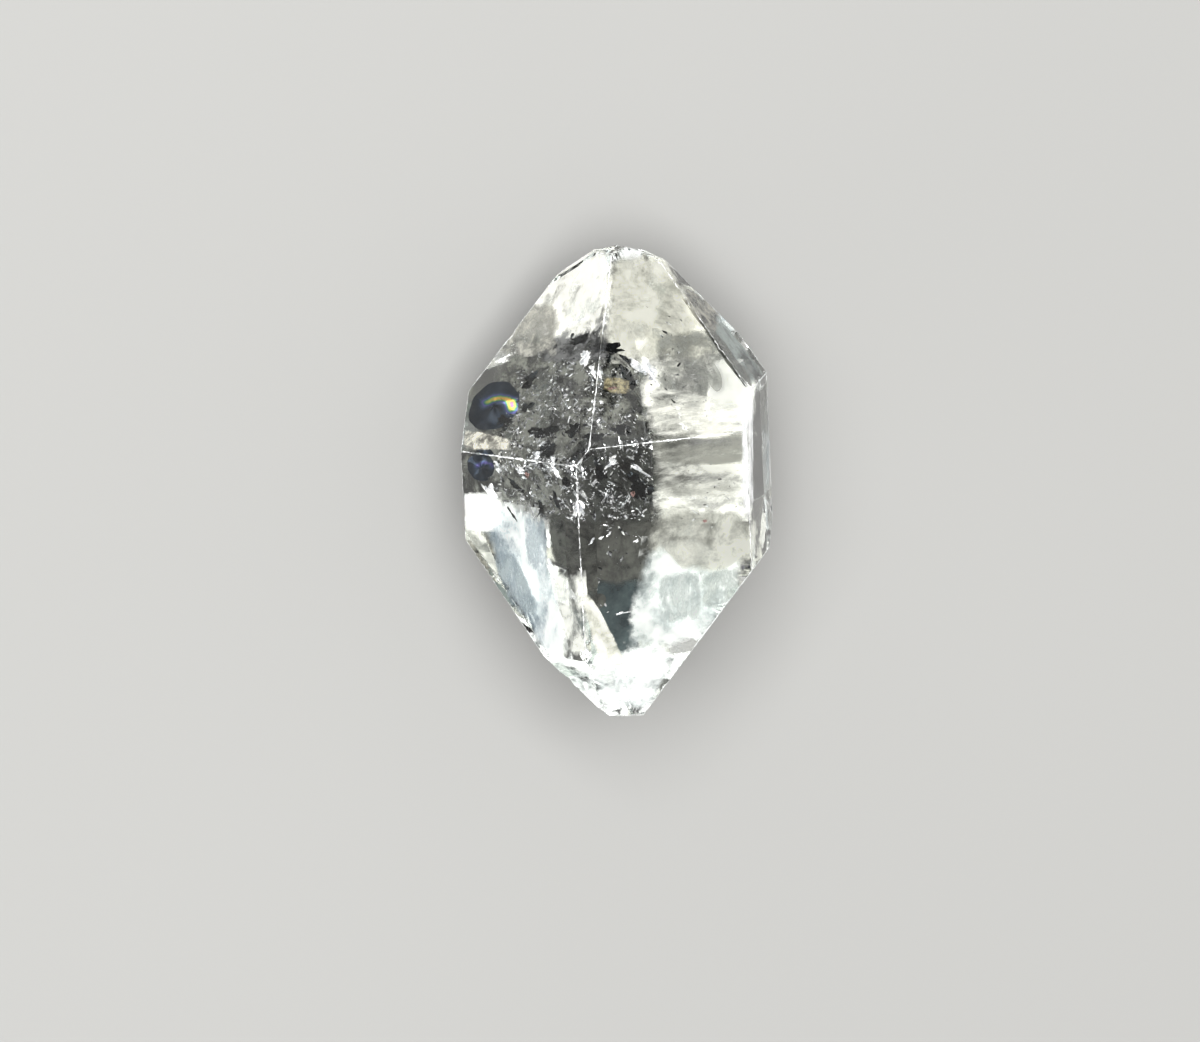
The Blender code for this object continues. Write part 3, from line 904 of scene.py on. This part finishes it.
# Name, four corners in photo pixels, depth in millimetres, darkest and lightest colour, least and most
# cover, patches per millimetre across and along the crystal, and painted glow
HAZE_SHEETS = [
    ("top_left", [(612, 246), (606, 336), (500, 344), (556, 252)],
     0.35, "E4E4DC", "FCFCF6", 0.35, 0.92, (3.5, 0.5), 0.92),
    ("top_left_low", [(513, 298), (562, 304), (556, 356), (490, 358)],
     0.25, "6A6963", "CBCAC0", 0.45, 0.90, (2.4, 2.4), 0.85),
    # A dark sheet: painted shade
    ("top_dark", [(556, 324), (608, 324), (608, 362), (528, 362)],
     0.60, "141618", "8A8B8B", 0.45, 0.90, (2.6, 2.6), 0.60),
    ("top_right", [(609, 244), (666, 256), (728, 362), (602, 364)],
     0.30, "B6B6AA", "EBEBE0", 0.55, 0.95, (1.2, 1.0), 0.90),
    ("upper_right", [(634, 326), (710, 322), (758, 436), (646, 444)],
     0.34, "9FA09A", "FAFAF2", 0.20, 0.88, (0.9, 1.3), 0.92),
    ("right_cloud", [(652, 328), (722, 332), (736, 400), (660, 404)],
     0.24, "3C3E3C", "A9ABA4", 0.15, 0.90, (2.0, 2.0), 0.80),
    ("right_window", [(708, 356), (756, 360), (756, 426), (706, 420)],
     0.22, "DDDFD8", "FAFBF4", 0.70, 0.97, (1.4, 1.4), 0.98),
    ("upper_streaks", [(644, 386), (748, 398), (748, 436), (648, 442)],
     0.20, "8F9089", "F6F6EE", 0.00, 0.70, (0.7, 4.2), 0.90),
    ("under_rim", [(652, 434), (752, 428), (751, 464), (652, 466)],
     0.20, "64655F", "A4A59C", 0.25, 0.70, (0.9, 2.2), 0.80),
    ("front_right", [(653, 444), (752, 438), (752, 498), (652, 502)],
     0.30, "888982", "E9EAE1", 0.40, 0.88, (0.9, 2.6), 0.92),
    ("front_band", [(653, 480), (752, 478), (752, 524), (652, 524)],
     0.45, "BFC0B8", "F8F9F2", 0.40, 0.93, (1.2, 2.4), 0.95),
    ("near_right_top", [(650, 508), (757, 508), (756, 576), (642, 568)],
     0.30, "92938A", "D8D9CF", 0.50, 0.90, (1.2, 1.2), 0.92),
    ("near_right", [(642, 536), (752, 542), (722, 628), (618, 668)],
     0.30, "C2CBC9", "F9FBF7", 0.40, 0.95, (1.0, 1.1), 0.96),
    ("near_left", [(462, 494), (538, 508), (569, 650), (546, 664)],
     0.30, "A3B1B8", "F6F9F6", 0.40, 0.93, (1.2, 0.6), 0.94),
    ("near_strip", [(545, 578), (582, 570), (584, 656), (552, 658)],
     0.35, "A4A7A2", "F4F5EE", 0.15, 0.85, (2.4, 1.4), 0.90),
    ("near_cream", [(579, 592), (590, 592), (632, 670), (600, 668)],
     0.20, "E2E2D4", "FDFDF8", 0.45, 0.92, (1.8, 1.8), 0.92),
    # Painted light at the near tip, where light shines through the crystal
    ("near_tip", [(580, 654), (682, 640), (652, 714), (602, 710)],
     0.30, "DCE4E2", "FDFEFB", 0.25, 0.90, (1.4, 1.4), 0.95),
    ("left_notch", [(460, 428), (512, 438), (510, 450), (460, 450)],
     0.15, "9B988D", "F4F2E6", 0.15, 0.95, (3.0, 3.0), 0.92),
    # Dark sheets about a millimetre down: painted shade over the dark zone, with a faint painted glow in
    # their lighter patches
    ("smoky_upper", [(506, 336), (642, 330), (654, 444), (466, 454)],
     1.25, "040505", "A6A89F", 0.25, 0.92, (2.3, 2.3), 0.50),
    ("smoky_left", [(460, 432), (594, 440), (586, 522), (464, 520)],
     1.15, "040505", "A0A29A", 0.25, 0.90, (2.3, 2.3), 0.50),
    ("smoky_strip", [(546, 510), (582, 510), (582, 572), (552, 566)],
     1.10, "1A1B1A", "5C5E58", 0.70, 0.92, (2.0, 2.0), 0.60),
    ("smoky_front", [(580, 440), (658, 432), (656, 526), (576, 526)],
     1.00, "060707", "5E615C", 0.40, 0.88, (1.7, 1.7), 0.50),
    ("smoky_low", [(560, 500), (664, 498), (654, 612), (574, 614)],
     1.10, "333431", "62635D", 0.85, 0.95, (1.4, 1.4), 0.72),
    ("smoky_point", [(574, 578), (654, 578), (634, 664), (612, 664)],
     1.05, "2D3639", "4D595A", 0.85, 0.95, (0.8, 0.8), 0.72),
    ("left_white", [(452, 492), (502, 492), (500, 532), (456, 532)],
     0.15, "EDF2EF", "FFFFFB", 0.75, 0.97, (1.5, 1.5), 0.96),
    ("blue_high", [(522, 512), (546, 516), (549, 568), (528, 574)],
     0.18, "566C80", "BFC9CB", 0.05, 0.82, (3.2, 1.6), 0.86),
    ("blue_low", [(488, 550), (512, 546), (542, 612), (516, 620)],
     0.18, "455A6A", "B4BFC1", 0.10, 0.88, (3.2, 1.6), 0.86),
    ("grey_right", [(656, 574), (702, 570), (704, 618), (658, 626)],
     0.18, "74807F", "D0D6D2", 0.10, 0.85, (3.2, 1.4), 0.90),
    ("grey_far_right", [(700, 572), (744, 566), (738, 602), (702, 612)],
     0.18, "76827F", "D0D6D0", 0.10, 0.80, (3.4, 2.0), 0.88),
    ("right_rim", [(741, 392), (754, 388), (754, 518), (742, 516)],
     0.12, "E4E6E7", "FFFFFF", 0.20, 0.95, (3.0, 0.8), 0.96),
    # Dark sheets along the far side: painted shade
    ("far_side_high", [(680, 280), (724, 312), (714, 342), (690, 312)],
     0.20, "2A2925", "B6B4A8", 0.70, 0.96, (2.4, 2.4), 0.80),
    ("far_side_low", [(718, 314), (764, 372), (750, 390), (706, 336)],
     0.20, "3B4646", "9AA5A1", 0.65, 0.95, (1.0, 1.0), 0.80),
    ("far_side_edge", [(702, 328), (713, 326), (756, 384), (745, 390)],
     0.12, "262824", "74766E", 0.45, 0.92, (2.4, 2.4), 0.70),
    ("gold_stain", [(604, 376), (631, 379), (629, 395), (603, 392)],
     0.50, "54482C", "DCD2AC", 0.05, 0.80, (3.4, 3.4), 0.60),
]


def hazy_painted_light_and_shade(name, dark_hex, light_hex, least, most, grain, painted_glow_share):
    """Scattering haze: dull, see-through where a stretched noise is low, and frayed away at its rim. Its
    colours and glow are painted light and painted shade.
    """
    material, tree, shader, place = new_material(name)
    shader.inputs["Roughness"].default_value = 0.9
    shader.inputs["Specular IOR Level"].default_value = 0.0
    across, along = (per_mm / MM for per_mm in grain)
    stretched = add_node(tree, "ShaderNodeMapping", {"Vector": place, "Scale": (across, along, across)})
    noise = {"Scale": 1.0, "Detail": 5.0, "Roughness": 0.68, "Distortion": 0.25}
    clouds = add_node(tree, "ShaderNodeTexNoise", {"Vector": stretched.outputs[0], **noise})
    cover = add_node(
        tree,
        "ShaderNodeMapRange",
        {"Value": clouds.outputs[0], "From Min": 0.36, "From Max": 0.62, "To Min": least, "To Max": most},
    )
    rim = add_node(tree, "ShaderNodeAttribute", attribute_name="rim").outputs["Fac"]
    frayed = add_node(
        tree, "ShaderNodeMath", {0: clouds.outputs[0], 1: 2.2, 2: rim}, operation="MULTIPLY_ADD"
    )
    inside = add_node(
        tree, "ShaderNodeMapRange", {"Value": frayed.outputs[0], "From Min": 1.15, "From Max": 1.85}
    )
    alpha = add_node(
        tree, "ShaderNodeMath", {0: cover.outputs[0], 1: inside.outputs[0]}, operation="MULTIPLY"
    )
    tree.links.new(alpha.outputs[0], shader.inputs["Alpha"])
    patchy_tone(tree, shader, clouds, [(0.40, dark_hex), (0.59, light_hex)], painted_glow_share)
    return material


def haze_sheet(name, corners, depth, material, seed):
    """P(u, v) = the corners mixed by u and v, sent into the crystal to a depth that a wave varies. The
    rim attribute falls to 0 towards the border of a square with rounded corners."""
    step = np.linspace(0.0, 1.0, HAZE_GRID)
    u, v = (axis.ravel() for axis in np.meshgrid(step, step))
    first, second, third, fourth = (np.array(corner, float) for corner in corners)
    top = first * (1.0 - u)[:, None] + second * u[:, None]
    bottom = fourth * (1.0 - u)[:, None] + third * u[:, None]
    pixels = top * (1.0 - v)[:, None] + bottom * v[:, None]
    spread = np.column_stack([pixels, np.zeros(len(pixels))]) * PIXEL_MM * MM
    depth_here = depth + HAZE_WAVE_DEPTH_MM * waves(spread, HAZE_WAVE_MM, 8, seed)
    points, _ = seen_through(pixels, depth_here)
    points = kept_inside(points, HAZE_INSET_MM)
    cell = (np.arange(HAZE_GRID - 1)[:, None] * HAZE_GRID + np.arange(HAZE_GRID - 1)).ravel()
    quads = np.stack([cell, cell + 1, cell + HAZE_GRID + 1, cell + HAZE_GRID], axis=1)
    sheet = new_piece(name, points, quads, material)
    squares = np.abs(2.0 * u - 1.0) ** HAZE_SQUARENESS + np.abs(2.0 * v - 1.0) ** HAZE_SQUARENESS
    from_middle = squares ** (1.0 / HAZE_SQUARENESS)
    rim_layer = sheet.data.attributes.new("rim", "FLOAT", "POINT")
    rim_layer.data.foreach_set("value", np.clip((1.0 - from_middle) / HAZE_RIM_SHARE, 0.0, 1.0))
    skin = sheet.modifiers.new("skin", "SOLIDIFY")
    skin.thickness = HAZE_THICKNESS_MM * MM
    skin.offset = 0.0
    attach(sheet, "root")


for number, (place_name, corners, depth, *look) in enumerate(HAZE_SHEETS):
    haze = hazy_painted_light_and_shade("hazy_painted_light_and_shade_" + place_name, *look)
    haze_sheet("hazy_sheet_painted_light_and_shade_" + place_name, corners, depth, haze, HAZE_SEED + number)


# Colour films
# Two cracks at the left edge hold air thinner than a hair. Light that mirrors from both their walls
# makes bands of colour, as oil does on water: here an arc, over a dark blue ground.
# Pixel in the photo, half length and half width in photo pixels, angle and depth
COLOUR_FILMS = [(494, 406, 29, 27, -12, 0.55), (481, 467, 17, 14, 10, 0.45)]
FILM_RINGS = 12
FILM_LEAN_DEG = 14
FILM_RAGGEDNESS = 0.10
# Colours from where the walls touch to where they are furthest apart
FILM_COLOURS = [
    (0.10, "14181D"), (0.34, "222932"), (0.50, "303C50"), (0.60, "4A4478"), (0.70, "2F565A"),
    (0.78, "4E7A48"), (0.87, "98944A"), (0.95, "D0803C"), (1.00, "B8506A"),
]
# How far up the colours each film's arc reaches, and the arc in shares of the film's size, with
# its mean, the rise towards its top and right, and the mean and swing of its reach
COLOUR_PEAKS = (0.80, 0.40)
ARC_MIDDLE = (0.22, -0.05)
ARC_HALF_SIZES = (0.56, 0.36)
ARC_WIDTH = 0.50
ARC_MEAN = 0.75
ARC_TOP = 0.90
ARC_RIGHT = 0.25
ARC_REACH = (0.88, 0.12)


def thin_air_film_painted_glow():
    """Air film in a crack: dark, with bands of interference colour that follow its thickness."""
    material, tree, shader, place = new_material("thin_air_film_painted_glow")
    shader.inputs["Metallic"].default_value = 1.0
    shader.inputs["Roughness"].default_value = 0.34
    # The bands waver over 0.1 to 0.4 mm
    warped = add_node(
        tree, "ShaderNodeTexNoise", {"Vector": place, "Scale": 2600.0, "Detail": 3.0, "Distortion": 0.6}
    )
    closeness = add_node(tree, "ShaderNodeAttribute", attribute_name="closeness").outputs["Fac"]
    mixed = add_node(
        tree, "ShaderNodeMath", {0: warped.outputs[0], 1: 0.50, 2: closeness}, operation="MULTIPLY_ADD"
    )
    # A 0.40 share of the colours is given off as a painted glow
    patchy_tone(tree, shader, mixed, FILM_COLOURS, 0.40)
    return material


film_draw = np.random.default_rng(5)
film_parts = [
    crack_wing((*outline, FILM_LEAN_DEG, depth), FILM_RINGS, film_draw, FILM_RAGGEDNESS)
    for *outline, depth in COLOUR_FILMS
]
colour_films = new_piece("colour_films", *joined(film_parts), thin_air_film_painted_glow())
ring_out = np.repeat(np.arange(1, FILM_RINGS + 1) / FILM_RINGS, WING_SPOKES)
ring_turn = np.tile(np.linspace(0.0, 2.0 * np.pi, WING_SPOKES, endpoint=False), FILM_RINGS)
along_film = np.append(ring_out * np.cos(ring_turn), 0.0)
across_film = np.append(ring_out * np.sin(ring_turn), 0.0)
arc_x = (along_film - ARC_MIDDLE[0]) / ARC_HALF_SIZES[0]
arc_y = (across_film - ARC_MIDDLE[1]) / ARC_HALF_SIZES[1]
off_arc = (np.hypot(arc_x, arc_y) - 1.0) / ARC_WIDTH
way_round = np.arctan2(arc_y, arc_x)
on_arc = np.clip(ARC_MEAN + ARC_TOP * np.sin(way_round) + ARC_RIGHT * np.cos(way_round), 0.0, 1.0)
arc = np.exp(-(off_arc**2)) * on_arc * (ARC_REACH[0] + ARC_REACH[1] * np.cos(way_round))
closeness = np.concatenate([np.tile(peak * arc, 2) for peak in COLOUR_PEAKS])
closeness_layer = colour_films.data.attributes.new("closeness", "FLOAT", "POINT")
closeness_layer.data.foreach_set("value", closeness)
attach(colour_films, "root")


# Floor and light
# A pale grey tabletop, a key softbox beside the camera, so that the crystal hides its own shadow and
# stays dark where it is looked straight through, and four low softboxes that fill its sloping faces.
FLOOR_SIZE = 0.6
AIR_GAP_MM = 0.02
LIGHT_DISTANCE = 0.40
LIGHT_TINT = (1.0, 1.0, 0.985)
# Name, azimuth and elevation in degrees, width and height in metres, brightness
SOFTBOXES = [
    ("key_softbox", -55.3, 68.4, 0.26, 0.26, 15.0),
    ("right_softbox", 98.0, 10.0, 0.60, 0.20, 1.2),
    ("far_softbox", -15.0, 16.0, 0.50, 0.22, 1.2),
    ("near_softbox", 177.0, 10.0, 0.30, 0.16, 1.2),
    ("left_softbox", -112.0, 14.0, 0.40, 0.18, 1.2),
]

# Painted board, matt and even
floor_material = bpy.data.materials.new("painted_board")
floor_material.use_nodes = True
floor_shader = floor_material.node_tree.nodes["Principled BSDF"]
floor_shader.inputs["Base Color"].default_value = linear("969695")
floor_shader.inputs["Roughness"].default_value = 0.9
half = FLOOR_SIZE / 2.0
drop = -AIR_GAP_MM * MM
floor_mesh = bpy.data.meshes.new("floor")
floor_corners = [(-half, -half, drop), (half, -half, drop), (half, half, drop), (-half, half, drop)]
floor_mesh.from_pydata(floor_corners, [], [(0, 1, 2, 3)])
floor_mesh.materials.append(floor_material)
floor = bpy.data.objects.new("floor", floor_mesh)
bpy.context.scene.collection.objects.link(floor)

for name, azimuth, elevation, width, height, brightness in SOFTBOXES:
    around, raised = math.radians(azimuth), math.radians(elevation)
    level = math.cos(raised)
    towards = Vector((math.sin(around) * level, math.cos(around) * level, math.sin(raised)))
    lamp = bpy.data.lights.new(name, "AREA")
    lamp.shape = "RECTANGLE"
    lamp.size = width
    lamp.size_y = height
    lamp.energy = brightness * math.pi * width * height
    lamp.color = LIGHT_TINT
    softbox = bpy.data.objects.new(name, lamp)
    bpy.context.scene.collection.objects.link(softbox)
    softbox.location = towards * LIGHT_DISTANCE
    softbox.rotation_euler = towards.to_track_quat("Z", "Y").to_euler()
    softbox.visible_camera = False

# The studio around it is bright overhead and nearly dark lower down
world = bpy.data.worlds.new("studio")
bpy.context.scene.world = world
world.use_nodes = True
sky = world.node_tree
sky.nodes["Background"].inputs["Color"].default_value = linear("FFFCF8")
direction = add_node(sky, "ShaderNodeTexCoord").outputs["Generated"]
upward = add_node(sky, "ShaderNodeSeparateXYZ", {0: direction}).outputs["Z"]
graded = add_node(
    sky,
    "ShaderNodeMapRange",
    {"Value": upward, "From Min": 0.35, "From Max": 0.85, "To Min": 0.07, "To Max": 0.55},
)
sky.links.new(graded.outputs[0], sky.nodes["Background"].inputs["Strength"])

scene = bpy.context.scene
scene.view_settings.view_transform = "Standard"
scene.cycles.max_bounces = 16
scene.cycles.transmission_bounces = 16
scene.cycles.glossy_bounces = 16
scene.cycles.diffuse_bounces = 2
scene.cycles.transparent_max_bounces = 16
scene.cycles.caustics_refractive = False
scene.cycles.caustics_reflective = False
